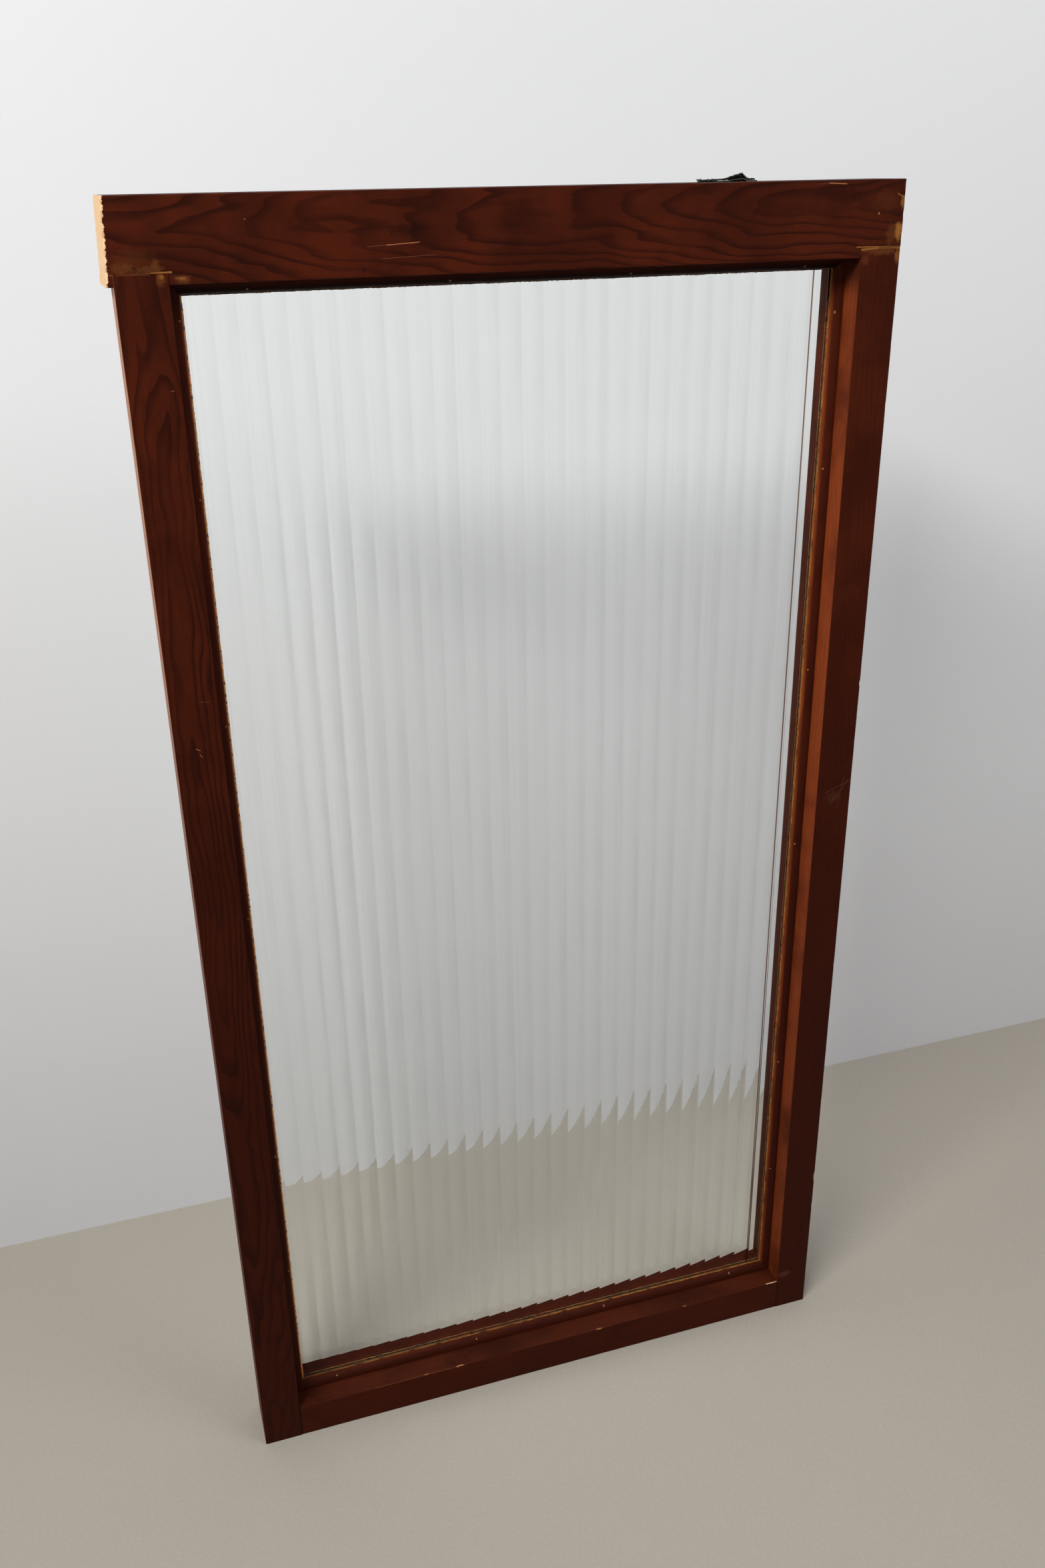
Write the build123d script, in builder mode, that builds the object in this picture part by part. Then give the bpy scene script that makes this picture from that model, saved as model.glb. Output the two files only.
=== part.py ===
"""A fixed timber window light glazed with one sheet of fluted glass.

Lengths are in millimetres. X runs left to right, Y from the room face to the back, Z upward.
The origin is the middle of the frame's bottom face, halfway through its depth.
"""

import os
from math import sqrt

from build123d import *

os.makedirs("parts", exist_ok=True)

# Overall size of the frame, measured over the jambs
frame_width = 740.0
frame_height = 1415.0
frame_depth = 60.0

# Timber sections as seen on the room face, with their slightly rounded corners
left_jamb_face = 45.5
right_jamb_face = 43.0
head_face = 70.0
rail_face = 45.0
arris_radius = 0.9

# Housed joint between the head and each jamb, and the head's off-square saw cut
housing_depth = 10.0
head_overhang = 6.5
saw_cut_skew = 5.0

# Glazing rebate, from the room face towards the back
reveal_depth = 26.0
bead_size = 10.0
bedding_thickness = 1.0
bedding_width = 10.8
glass_thickness = 5.0
lip_width = 10.0

# Fluted glass: hollow flutes that meet in sharp ridges on the room side
flute_pitch = 21.8
flute_depth = 1.5
flute_shift = 5.2
edge_clearance = 2.0

# Torn scrap of roofing felt left on top of the head
felt_left_x = 170.0
felt_length = 60.0
felt_height = 9.5
felt_thickness = 1.6
felt_foot = 14.0

# Depths of the glazing, worked out from the sizes above
front_y = -frame_depth / 2
back_y = frame_depth / 2
bead_front_y = front_y + reveal_depth
bead_back_y = bead_front_y + bead_size
glass_front_y = bead_back_y + bedding_thickness
glass_back_y = glass_front_y + glass_thickness
lip_front_y = glass_back_y + bedding_thickness

# The rebated opening between the four bars
opening_left_x = -frame_width / 2 + left_jamb_face
opening_right_x = frame_width / 2 - right_jamb_face
opening_bottom_z = rail_face
opening_top_z = frame_height - head_face
opening_width = opening_right_x - opening_left_x
opening_height = opening_top_z - opening_bottom_z

# One plane for each side of the opening, standing at the corner where the side begins:
# local x points into the opening, local y to the back, and z runs along the side
left_side = Plane((opening_left_x, 0, opening_bottom_z), x_dir=(1, 0, 0), z_dir=(0, 0, 1))
top_side = Plane((opening_left_x, 0, opening_top_z), x_dir=(0, 0, -1), z_dir=(1, 0, 0))
right_side = Plane((opening_right_x, 0, opening_top_z), x_dir=(-1, 0, 0), z_dir=(0, 0, -1))
bottom_side = Plane((opening_right_x, 0, opening_bottom_z), x_dir=(0, 0, 1), z_dir=(-1, 0, 0))
sides = {
    "left": (left_side, opening_height),
    "top": (top_side, opening_width),
    "right": (right_side, opening_height),
    "bottom": (bottom_side, opening_width),
}


def save(builder, name):
    """Label a finished piece and write it to its own file."""
    builder.part.label = name
    export_step(builder.part, f"parts/{name}.step")


def bar_section(face, corner_radius=arris_radius):
    """The rebated section of a frame bar whose room face is this wide."""
    with BuildSketch() as section:
        with BuildLine():
            Polyline(
                (-face, front_y),
                (0, front_y),
                (0, lip_front_y),
                (lip_width, lip_front_y),
                (lip_width, back_y),
                (-face, back_y),
                close=True,
            )
        make_face()
        if corner_radius:
            fillet(section.vertices().sort_by(Axis.Y)[:2], corner_radius)
    return section.sketch


def bead_section():
    """The section of a quarter-round glazing bead, square to the reveal and to the glass."""
    with BuildSketch() as section:
        with BuildLine():
            back = Line((0, bead_front_y), (0, bead_back_y))
            foot = Line(back @ 1, (bead_size, bead_back_y))
            ThreePointArc(
                foot @ 1,
                (bead_size * sqrt(0.5), bead_back_y - bead_size * sqrt(0.5)),
                back @ 0,
            )
        make_face()
    return section.sketch


def bedding_section(width, start_y, end_y):
    """The section of a flat strip of putty, from the rebate's edge inwards."""
    with BuildSketch() as section:
        with Locations((width / 2, (start_y + end_y) / 2)):
            Rectangle(width, end_y - start_y)
    return section.sketch


# Jambs: full height, with their tops let into the head
jamb_length = opening_top_z + housing_depth
with BuildPart() as left_jamb:
    with BuildSketch(left_side.offset(-opening_bottom_z)):
        add(bar_section(left_jamb_face))
    extrude(amount=jamb_length)
save(left_jamb, "left_jamb")

with BuildPart() as right_jamb:
    with BuildSketch(right_side.offset(-housing_depth)):
        add(bar_section(right_jamb_face))
    extrude(amount=jamb_length)
save(right_jamb, "right_jamb")

# The square-cornered room that the jambs take out of the head and the rail
with BuildPart() as jamb_room:
    with BuildSketch(left_side.offset(-opening_bottom_z)):
        add(bar_section(left_jamb_face, corner_radius=0))
    extrude(amount=jamb_length)
    with BuildSketch(right_side.offset(-housing_depth)):
        add(bar_section(right_jamb_face, corner_radius=0))
    extrude(amount=jamb_length)

# Head: lies over the jambs, housed for them; its back lip stops at the left jamb, and its
# left end stands out past that jamb, sawn off out of square
head_left = left_jamb_face + head_overhang + saw_cut_skew
lip_end_align = (Align.MIN, Align.MIN, Align.MAX)
saw_cut = Plane(
    origin=(-frame_width / 2 - head_overhang, front_y, frame_height),
    x_dir=(0, 0, 1),
    z_dir=(frame_depth, saw_cut_skew, 0),
)
with BuildPart() as head:
    with BuildSketch(top_side.offset(-head_left)):
        add(bar_section(head_face))
    extrude(amount=head_left + opening_width + right_jamb_face)
    with Locations((opening_left_x - head_left, front_y, opening_top_z)):
        Box(head_left, frame_depth, lip_width, align=lip_end_align, mode=Mode.SUBTRACT)
    add(jamb_room.part, mode=Mode.SUBTRACT)
    split(bisect_by=saw_cut, keep=Keep.TOP)
save(head, "head")

# Bottom rail: butts between the jambs and is scribed over their back lips
with BuildPart() as bottom_rail:
    with BuildSketch(bottom_side):
        add(bar_section(rail_face))
    extrude(amount=opening_width)
    add(jamb_room.part, mode=Mode.SUBTRACT)
save(bottom_rail, "bottom_rail")

# Fluted glass: a wider sheet of whole flutes, cut to fit the rebate
pane_width = opening_width - 2 * edge_clearance
pane_height = opening_height - 2 * edge_clearance
pane_middle_x = (opening_left_x + opening_right_x) / 2
flute_count = int(pane_width / flute_pitch) + 2
sheet_left_x = pane_middle_x - flute_count * flute_pitch / 2 + flute_shift
sheet_right_x = sheet_left_x + flute_count * flute_pitch
with BuildPart() as glass_pane:
    with BuildSketch(Plane.XY.offset(opening_bottom_z + edge_clearance)):
        with BuildLine():
            for flute in range(flute_count):
                ridge_x = sheet_left_x + flute * flute_pitch
                ThreePointArc(
                    (ridge_x, glass_front_y),
                    (ridge_x + flute_pitch / 2, glass_front_y + flute_depth),
                    (ridge_x + flute_pitch, glass_front_y),
                )
            Polyline(
                (sheet_right_x, glass_front_y),
                (sheet_right_x, glass_back_y),
                (sheet_left_x, glass_back_y),
                (sheet_left_x, glass_front_y),
            )
        make_face()
        with Locations((pane_middle_x, (glass_front_y + glass_back_y) / 2)):
            Rectangle(pane_width, glass_thickness, mode=Mode.INTERSECT)
    extrude(amount=pane_height)
save(glass_pane, "glass_pane")

# Beads and putty: four mitred lengths of each, one for every side of the opening
strips = {
    "bead": bead_section(),
    "front_bedding": bedding_section(bedding_width, bead_back_y, glass_front_y),
    "back_bedding": bedding_section(lip_width, glass_back_y, lip_front_y),
}
for strip_name, strip_section in strips.items():
    for side_name, (side, length) in sides.items():
        start_mitre = Plane(side.origin, z_dir=side.z_dir - side.x_dir)
        end_mitre = Plane(side.origin + side.z_dir * length, z_dir=-side.z_dir - side.x_dir)
        with BuildPart() as strip:
            with BuildSketch(side):
                add(strip_section)
            extrude(amount=length)
            split(bisect_by=start_mitre, keep=Keep.TOP)
            split(bisect_by=end_mitre, keep=Keep.TOP)
        save(strip, f"{side_name}_{strip_name}")

# Felt scrap: a torn flap that stands up from a foot lying on the head
with BuildPart() as felt_scrap:
    with BuildSketch(Plane.XZ):
        with BuildLine():
            Polyline(
                (felt_left_x, frame_height),
                (felt_left_x, frame_height + felt_thickness),
                (felt_left_x + 0.4 * felt_length, frame_height + 0.55 * felt_height),
                (felt_left_x + 0.8 * felt_length, frame_height + felt_height),
                (felt_left_x + felt_length, frame_height + felt_thickness),
                (felt_left_x + felt_length, frame_height),
                close=True,
            )
        make_face()
    extrude(amount=felt_thickness)
    with BuildSketch(Plane.XY.offset(frame_height)):
        with Locations((felt_left_x + felt_length / 2, felt_foot / 2 - felt_thickness)):
            Rectangle(felt_length, felt_foot)
    extrude(amount=felt_thickness)
save(felt_scrap, "felt_scrap")
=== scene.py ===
"""Dresses the fluted glass window: timber, glass, putty, felt, pins and wear, on a plain stage."""

import math
import random

import bmesh
import bpy
from mathutils import Matrix, Vector, noise


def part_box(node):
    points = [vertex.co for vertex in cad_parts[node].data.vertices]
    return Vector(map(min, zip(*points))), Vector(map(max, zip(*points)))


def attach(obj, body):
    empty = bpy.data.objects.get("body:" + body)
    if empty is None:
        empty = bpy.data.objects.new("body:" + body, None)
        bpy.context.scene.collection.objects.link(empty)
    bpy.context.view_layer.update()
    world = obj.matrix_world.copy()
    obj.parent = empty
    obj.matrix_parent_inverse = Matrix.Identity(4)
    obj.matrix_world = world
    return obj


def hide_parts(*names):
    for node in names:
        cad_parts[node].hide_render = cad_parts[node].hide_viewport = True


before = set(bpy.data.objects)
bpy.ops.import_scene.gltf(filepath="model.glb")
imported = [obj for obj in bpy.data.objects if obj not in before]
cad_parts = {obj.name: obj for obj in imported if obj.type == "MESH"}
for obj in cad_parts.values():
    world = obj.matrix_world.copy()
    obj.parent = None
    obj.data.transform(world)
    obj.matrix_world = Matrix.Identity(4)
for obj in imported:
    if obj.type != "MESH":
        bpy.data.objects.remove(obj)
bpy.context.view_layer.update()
rng = random.Random(41)

# Places of the carried-over pieces, in metres
left_jamb_low, left_jamb_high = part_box("left_jamb")
right_jamb_low, right_jamb_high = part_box("right_jamb")
head_low, head_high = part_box("head")
_, rail_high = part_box("bottom_rail")
pane_low, pane_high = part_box("glass_pane")
HOUSING = 0.010
LIP = 0.010
FRONT_Y = head_low.y
LEFT_X = left_jamb_low.x
RIGHT_X = right_jamb_high.x
HEAD_TOP_Z = head_high.z
JAMB_TOP_Z = left_jamb_high.z
HEAD_ARRIS_Z = JAMB_TOP_Z - HOUSING
RAIL_ARRIS_Z = rail_high.z - LIP
OPENING_LEFT_X = left_jamb_high.x - LIP
OPENING_RIGHT_X = right_jamb_low.x + LIP

# The head's sawn end: how far it stands out from the left jamb at the joint on the room face,
# and how much further it runs out per metre towards the back and leans in per metre upwards
SAWN_OUT = 0.0055
SAWN_SPREAD = 0.053
SAWN_LEAN = 0.057


def rgb(red, green, blue):
    """A colour written as 0 to 255 screen values, turned into linear light."""
    def linear(value):
        value /= 255
        return value / 12.92 if value <= 0.04045 else ((value + 0.055) / 1.055) ** 2.4
    return (linear(red), linear(green), linear(blue), 1.0)


class Tree:
    """Short ways to add and join the nodes of one shader tree."""

    def __init__(self, tree, output):
        self.tree = tree
        self.tree.nodes.clear()
        self.output = self.node(output)

    def node(self, kind, **settings):
        made = self.tree.nodes.new(kind)
        for key, value in settings.items():
            setattr(made, key, value)
        return made

    def put(self, socket, value):
        """Links a socket, or sets it to a plain value."""
        if isinstance(value, bpy.types.NodeSocket):
            self.tree.links.new(value, socket)
        else:
            socket.default_value = value

    def math(self, operation, first, second=0.0, clamp=False):
        made = self.node("ShaderNodeMath", operation=operation, use_clamp=clamp)
        self.put(made.inputs[0], first)
        self.put(made.inputs[1], second)
        return made.outputs[0]

    def plus(self, first, second):
        return self.math("ADD", first, second)

    def minus(self, first, second):
        return self.math("SUBTRACT", first, second)

    def times(self, first, second):
        return self.math("MULTIPLY", first, second)

    def diagonal(self, first, second):
        """The distance that two distances at right angles make together."""
        return self.math("SQRT", self.plus(self.times(first, first), self.times(second, second)))

    def combine(self, x, y, z):
        made = self.node("ShaderNodeCombineXYZ")
        for socket, value in zip(made.inputs, (x, y, z)):
            self.put(socket, value)
        return made.outputs[0]

    def split(self, vector):
        made = self.node("ShaderNodeSeparateXYZ")
        self.put(made.inputs[0], vector)
        return made.outputs[0], made.outputs[1], made.outputs[2]

    def noise(self, vector, scale, detail=2.0, roughness=0.5):
        made = self.node("ShaderNodeTexNoise")
        self.put(made.inputs["Vector"], vector)
        self.put(made.inputs["Scale"], scale)
        self.put(made.inputs["Detail"], detail)
        self.put(made.inputs["Roughness"], roughness)
        return made.outputs[0]

    def step(self, value, low, high):
        """A smooth step from 0 at low to 1 at high; low may be above high."""
        made = self.node("ShaderNodeMapRange", interpolation_type="SMOOTHSTEP")
        self.put(made.inputs["Value"], value)
        self.put(made.inputs["From Min"], min(low, high))
        self.put(made.inputs["From Max"], max(low, high))
        self.put(made.inputs["To Min"], 0.0 if low < high else 1.0)
        self.put(made.inputs["To Max"], 1.0 if low < high else 0.0)
        return made.outputs[0]

    def mix(self, factor, first, second):
        """Blends two colours."""
        made = self.node("ShaderNodeMix", data_type="RGBA")
        self.put(made.inputs[0], factor)
        self.put(made.inputs[6], first)
        self.put(made.inputs[7], second)
        return made.outputs[2]

    def bump(self, height, distance, strength=1.0):
        made = self.node("ShaderNodeBump")
        made.inputs["Strength"].default_value = strength
        made.inputs["Distance"].default_value = distance
        self.put(made.inputs["Height"], height)
        return made.outputs[0]

    def plain(self, kind, color, strength=None):
        """A shader of one plain colour."""
        shader = self.node(kind)
        shader.inputs["Color"].default_value = color
        if strength is not None:
            shader.inputs["Strength"].default_value = strength
        return shader

    def blend(self, factor, first, second):
        """Sends a mix of two shaders to the output."""
        made = self.node("ShaderNodeMixShader")
        for socket, value in zip(made.inputs, (factor, first.outputs[0], second.outputs[0])):
            self.put(socket, value)
        self.put(self.output.inputs[0], made.outputs[0])

    def seen(self):
        """1 for what the camera sees, also through the glass and in its gloss."""
        path = self.node("ShaderNodeLightPath")
        straight = self.math("MAXIMUM", path.outputs["Is Camera Ray"], path.outputs["Is Transmission Ray"])
        return self.math("MAXIMUM", straight, path.outputs["Is Glossy Ray"])


class Graph(Tree):
    """The nodes of a new material, with the point's place in metres and its true normal at hand."""

    def __init__(self, name):
        self.material = bpy.data.materials.new(name)
        self.material.use_nodes = True
        super().__init__(self.material.node_tree, "ShaderNodeOutputMaterial")
        self.point = self.node("ShaderNodeTexCoord").outputs["Object"]
        self.x, self.y, self.z = self.split(self.point)
        geometry = self.node("ShaderNodeNewGeometry")
        self.facing_x, self.facing_y, self.facing_z = self.split(geometry.outputs["True Normal"])
        self.backfacing = geometry.outputs["Backfacing"]
        # Masks that the functions of one material share
        self.uneven = self.late = self.fine = self.patchy = None

    def surface(self, color, roughness, normal=None, **plain):
        """A Principled surface; plain holds values set on its own sockets."""
        shader = self.node("ShaderNodeBsdfPrincipled")
        self.put(shader.inputs["Base Color"], color)
        self.put(shader.inputs["Roughness"], roughness)
        if normal is not None:
            self.put(shader.inputs["Normal"], normal)
        for key, value in plain.items():
            shader.inputs[key.replace("_", " ")].default_value = value
        self.put(self.output.inputs[0], shader.outputs[0])
        return shader


# Timber

STAIN_DARK = rgb(33, 10, 6)
STAIN_BASE = rgb(58, 20, 8)
STAIN_WARM = rgb(74, 27, 11)
# Painted light: the reveal colours of the right jamb and the upright beads are lighter and more orange than
# the plain ones, as where faces look towards the lamp on the left
LIT_REVEAL = (rgb(128, 57, 25), rgb(86, 35, 15))
PLAIN_REVEAL = (rgb(78, 31, 14), rgb(52, 20, 9))
RAW_TIMBER = rgb(250, 212, 166)
RAW_LATEWOOD = rgb(214, 158, 108)
FILLER = rgb(150, 98, 46)
WORN = rgb(92, 50, 24)
BARE = rgb(176, 116, 72)
SIDE_TOP = rgb(190, 138, 112)
SIDE_LOW = rgb(74, 34, 24)
GOLD = rgb(150, 98, 38)
DUST = rgb(104, 66, 50)
# Dark grime for small marks and joint lines, also the painted shade under the head
GRIME_AND_SHADE = rgb(18, 10, 8)
STREAK_FINENESS = 620.0


def run_and_across(graph, along):
    """The places along a bar and across its face."""
    return (graph.z, graph.x) if along == "z" else (graph.x, graph.z)


def grain(graph, along, heart, lean, spacing, wander, seed):
    """How dark the late wood is at a point of a flat-sawn bar, from 0 to 1.

    heart is where the tree's middle lies at the middle of the bar: its place across the bar and
    its depth behind the face. lean is how fast both change along the bar, and wander how far
    they drift from that. All are in metres.
    """
    run, across = run_and_across(graph, along)
    travel = graph.minus(run, HEAD_TOP_Z / 2 if along == "z" else 0.0)
    slow = graph.combine(graph.times(run, 3.2), seed, 0.0)
    drift = graph.times(graph.minus(graph.noise(slow, 1.0, 1.0), 0.5), wander[0])
    deep = graph.combine(graph.times(run, 4.6), seed + 7.0, 0.0)
    rise = graph.times(graph.minus(graph.noise(deep, 1.0, 1.5), 0.5), wander[1])
    side = graph.minus(graph.minus(across, heart[0]), drift)
    side = graph.minus(side, graph.times(travel, lean[0]))
    back = graph.plus(graph.plus(graph.y, heart[1]), rise)
    back = graph.plus(back, graph.times(travel, lean[1]))
    broad_place = graph.combine(graph.times(run, 7.0), graph.times(across, 30.0), graph.times(graph.y, 20.0))
    broad = graph.minus(graph.noise(broad_place, 1.0, 2.0, 0.45), 0.5)
    fine_place = graph.combine(
        graph.times(run, 30.0), graph.times(across, 110.0), graph.times(graph.y, 110.0)
    )
    fine = graph.minus(graph.noise(fine_place, 1.0, 2.0, 0.5), 0.5)
    rings = graph.math("DIVIDE", graph.diagonal(side, back), spacing)
    rings = graph.plus(graph.plus(rings, graph.times(broad, 4.2)), graph.times(fine, 0.45))
    phase = graph.math("FRACT", rings)
    line = graph.times(graph.step(phase, 0.40, 0.88), graph.step(phase, 1.0, 0.92))
    uneven_place = graph.combine(graph.times(run, 8.0), graph.times(across, 40.0), seed + 3.0)
    uneven = graph.step(graph.noise(uneven_place, 1.0, 2.0), 0.25, 0.75)
    return graph.times(line, graph.plus(0.45, graph.times(uneven, 0.55)))


def streaks(graph, along, seed):
    """Fine streaks along the bar, from 0 to 1."""
    run, across = run_and_across(graph, along)
    deep = graph.plus(graph.times(graph.y, STREAK_FINENESS), seed)
    place = graph.combine(graph.times(run, 7.0), graph.times(across, STREAK_FINENESS), deep)
    return graph.noise(place, 1.0, 3.0, 0.6)


def ragged_edge(graph, distance, raggedness):
    """1 where a distance, counted in shares of a mark's reach, is inside its uneven outline.

    All the marks of one material share the same unevenness.
    """
    if graph.uneven is None:
        streaky = graph.noise(graph.combine(graph.x, 0.0, graph.z), 380.0, 5.0, 0.72)
        broad = graph.noise(graph.combine(graph.x, 3.0, graph.z), 130.0, 2.0, 0.6)
        graph.uneven = graph.minus(graph.plus(graph.times(streaky, 0.6), graph.times(broad, 0.4)), 0.5)
    outline = graph.plus(distance, graph.times(graph.uneven, raggedness))
    return graph.step(outline, 1.15, 0.35)


def on_face(graph, mask):
    """Keeps a mask to the room face and the first rounding of its arrises."""
    return graph.times(mask, graph.step(graph.y, FRONT_Y + 0.0022, FRONT_Y + 0.0012))


def patch(graph, centre, reach):
    """A ragged patch on the face, round a place given as x and z."""
    off_x = graph.math("DIVIDE", graph.minus(graph.x, centre[0]), reach[0])
    off_z = graph.math("DIVIDE", graph.minus(graph.z, centre[1]), reach[1])
    return on_face(graph, ragged_edge(graph, graph.diagonal(off_x, off_z), 2.6))


def scratch(graph, start, end, width):
    """A thin mark from one place on the face to another, each given as x and z."""
    long_x, long_z = end[0] - start[0], end[1] - start[1]
    square = long_x ** 2 + long_z ** 2
    from_x = graph.minus(graph.x, start[0])
    from_z = graph.minus(graph.z, start[1])
    share = graph.math(
        "ADD", graph.times(from_x, long_x / square), graph.times(from_z, long_z / square), clamp=True
    )
    off_x = graph.minus(from_x, graph.times(share, long_x))
    off_z = graph.minus(from_z, graph.times(share, long_z))
    distance = graph.math("DIVIDE", graph.diagonal(off_x, off_z), width)
    return on_face(graph, ragged_edge(graph, distance, 1.6))


def in_reveal(graph):
    """1 inside the opening, in front of the glass, on all that doesn't face the room."""
    facing_room = graph.step(graph.times(graph.facing_y, -1.0), 0.3, 0.7)
    before_glass = graph.step(graph.y, pane_low.y, pane_low.y - 0.002)
    inside_x = graph.times(
        graph.step(graph.x, OPENING_LEFT_X - 0.002, OPENING_LEFT_X - 0.001),
        graph.step(graph.x, OPENING_RIGHT_X + 0.002, OPENING_RIGHT_X + 0.001),
    )
    inside_z = graph.times(
        graph.step(graph.z, HEAD_ARRIS_Z + 0.002, HEAD_ARRIS_Z + 0.001),
        graph.step(graph.z, RAIL_ARRIS_Z - 0.002, RAIL_ARRIS_Z - 0.001),
    )
    sideways = graph.times(graph.minus(1.0, facing_room), before_glass)
    return graph.times(sideways, graph.times(inside_x, inside_z))


def timber(name, along, rings, seed, contrast=1.0, low_shade=0.6, reveal=PLAIN_REVEAL, marks=(), finish=None):
    """Dark stained softwood, with its own colours in the reveal, ring lines, streaks and wear, and painted
    light and shade.

    rings holds grain()'s heart, lean, spacing and wander. reveal holds a light and a dark
    colour. marks are tuples that start with patch or scratch, then hold its places and sizes,
    its colour and its strength. finish is a function that may lay more colour over the bar.
    """
    graph = Graph(name)
    graph.late = late = grain(graph, along, *rings, seed)
    graph.fine = fine = streaks(graph, along, seed)
    patchy_place = graph.combine(graph.x, graph.plus(graph.y, seed), graph.z)
    graph.patchy = patchy = graph.noise(patchy_place, 13.0, 4.0, 0.6)

    smudge_place = graph.combine(
        graph.times(graph.x, 1.0 if along == "z" else 0.35), graph.y, graph.times(graph.z, 0.35)
    )
    smudge = graph.step(graph.noise(smudge_place, 38.0, 3.0, 0.55), 0.56, 0.74)
    base = graph.mix(graph.step(patchy, 0.35, 0.68), STAIN_BASE, STAIN_WARM)
    base = graph.mix(graph.times(smudge, 0.5 * contrast), base, STAIN_DARK)
    base = graph.mix(graph.times(late, 0.8 * contrast), base, STAIN_DARK)
    base = graph.mix(graph.times(graph.step(fine, 0.5, 0.8), 0.35), base, STAIN_DARK)
    # Painted shade: the stained face darker towards the floor, unevenly
    uneven_low_shade = graph.plus(0.5, graph.times(graph.step(patchy, 0.3, 0.6), 0.5))
    painted_low_shade = graph.times(graph.step(graph.z, 1.45, 0.35), uneven_low_shade)
    base = graph.mix(graph.times(painted_low_shade, low_shade), base, STAIN_DARK)

    # On the right jamb and the upright beads these reveal colours are painted light
    light_reveal, dark_reveal = reveal
    lined = graph.mix(graph.step(patchy, 0.4, 0.7), light_reveal, dark_reveal)
    lined = graph.mix(graph.times(late, 0.35), lined, dark_reveal)
    lined = graph.mix(graph.times(graph.step(fine, 0.5, 0.75), 0.4), lined, dark_reveal)
    # Painted shadow of the head across the top of the reveal
    painted_head_shadow = graph.step(graph.z, HEAD_ARRIS_Z - 0.040, HEAD_ARRIS_Z - 0.012)
    lined = graph.mix(graph.times(painted_head_shadow, 0.75), lined, STAIN_DARK)
    # Painted shade: the reveal darker towards the floor
    lined = graph.mix(graph.times(graph.step(graph.z, 1.1, 0.2), 0.3), lined, STAIN_DARK)
    color = graph.mix(in_reveal(graph), base, lined)

    for kind, first, second, *width, tint, strength in marks:
        mask = kind(graph, first, second, *width)
        color = graph.mix(graph.times(mask, strength), color, tint)
    if finish is not None:
        color = finish(graph, color)

    relief = graph.minus(graph.times(fine, 0.5), graph.times(late, 0.35))
    roughness = graph.plus(0.38, graph.times(patchy, 0.25))
    graph.surface(color, roughness, graph.bump(relief, 0.0003, 0.6), Specular_IOR_Level=0.05, IOR=1.45)
    return graph.material


def raw_outer_side(graph, color):
    """The left jamb's outer side: pale at the top, darker and darker lower down."""
    outside = graph.step(graph.times(graph.facing_x, -1.0), 0.4, 0.8)
    height = graph.plus(graph.z, graph.times(graph.patchy, 0.35))
    height = graph.plus(height, graph.times(graph.fine, 0.35))
    raw = graph.mix(graph.step(height, 0.75, 1.65), SIDE_LOW, SIDE_TOP)
    raw = graph.mix(graph.times(graph.late, 0.5), raw, SIDE_LOW)
    raw = graph.mix(graph.times(graph.step(graph.fine, 0.45, 0.8), 0.35), raw, SIDE_LOW)
    return graph.mix(outside, color, raw)


def right_outer_side(graph):
    """1 on the outer side of the right jamb and on the head's right end."""
    outermost = graph.step(graph.x, RIGHT_X - 0.010, RIGHT_X - 0.005)
    return graph.times(graph.step(graph.facing_x, 0.4, 0.8), outermost)


def filled_joint(graph, reach):
    """Ragged filler on the outer side, along the joint of the head and the jamb."""
    uneven = graph.noise(graph.combine(0.0, graph.y, graph.z), 120.0, 4.0, 0.7)
    from_joint = graph.math("ABSOLUTE", graph.minus(graph.z, JAMB_TOP_Z))
    spread = graph.minus(from_joint, graph.times(uneven, reach * 2.2))
    kept = graph.step(graph.noise(graph.combine(5.0, graph.y, graph.z), 260.0, 3.0, 0.6), 0.62, 0.48)
    return graph.times(graph.step(spread, -reach * 0.35, -reach * 0.55), kept)


def stained_outer_side(graph, color):
    """The right jamb's outer side: stained thinly, with filler at the top joint."""
    thin = graph.mix(graph.step(graph.patchy, 0.35, 0.65), STAIN_BASE, WORN)
    thin = graph.mix(graph.times(graph.step(graph.fine, 0.42, 0.7), 0.7), thin, STAIN_DARK)
    thin = graph.mix(filled_joint(graph, 0.008), thin, FILLER)
    return graph.mix(right_outer_side(graph), color, thin)


def shaded_below(graph, color):
    """Painted shade that darkens the faces that look down from the head, in front of the glass."""
    below = graph.step(graph.times(graph.facing_z, -1.0), 0.15, 0.7)
    below = graph.times(below, graph.step(graph.y, pane_low.y + 0.002, pane_low.y))
    return graph.mix(graph.times(below, 0.85), color, GRIME_AND_SHADE)


def gilded_edge(graph, color):
    """A bead's edge next to the glass, where old putty and stain have dried golden."""
    # Painted shade on the faces that look down
    color = shaded_below(graph, color)
    ragged = graph.noise(graph.point, 160.0, 3.0, 0.6)
    edge = graph.plus(graph.y, graph.times(ragged, 0.0020))
    near_glass = graph.step(edge, pane_low.y - 0.0022, pane_low.y - 0.0010)
    patches = graph.step(graph.noise(graph.combine(graph.x, 0.0, graph.z), 55.0, 2.0, 0.6), 0.36, 0.56)
    strong = graph.plus(graph.times(graph.step(graph.x, -0.30, 0.30), 0.5), 0.5)
    return graph.mix(graph.times(graph.times(near_glass, patches), strong), color, GOLD)


def sawn_end_x(y, z):
    """Where the head's sawn end lies on the room face and behind it."""
    return LEFT_X - (SAWN_OUT + SAWN_SPREAD * (y - FRONT_Y) - SAWN_LEAN * (z - HEAD_ARRIS_Z))


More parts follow.
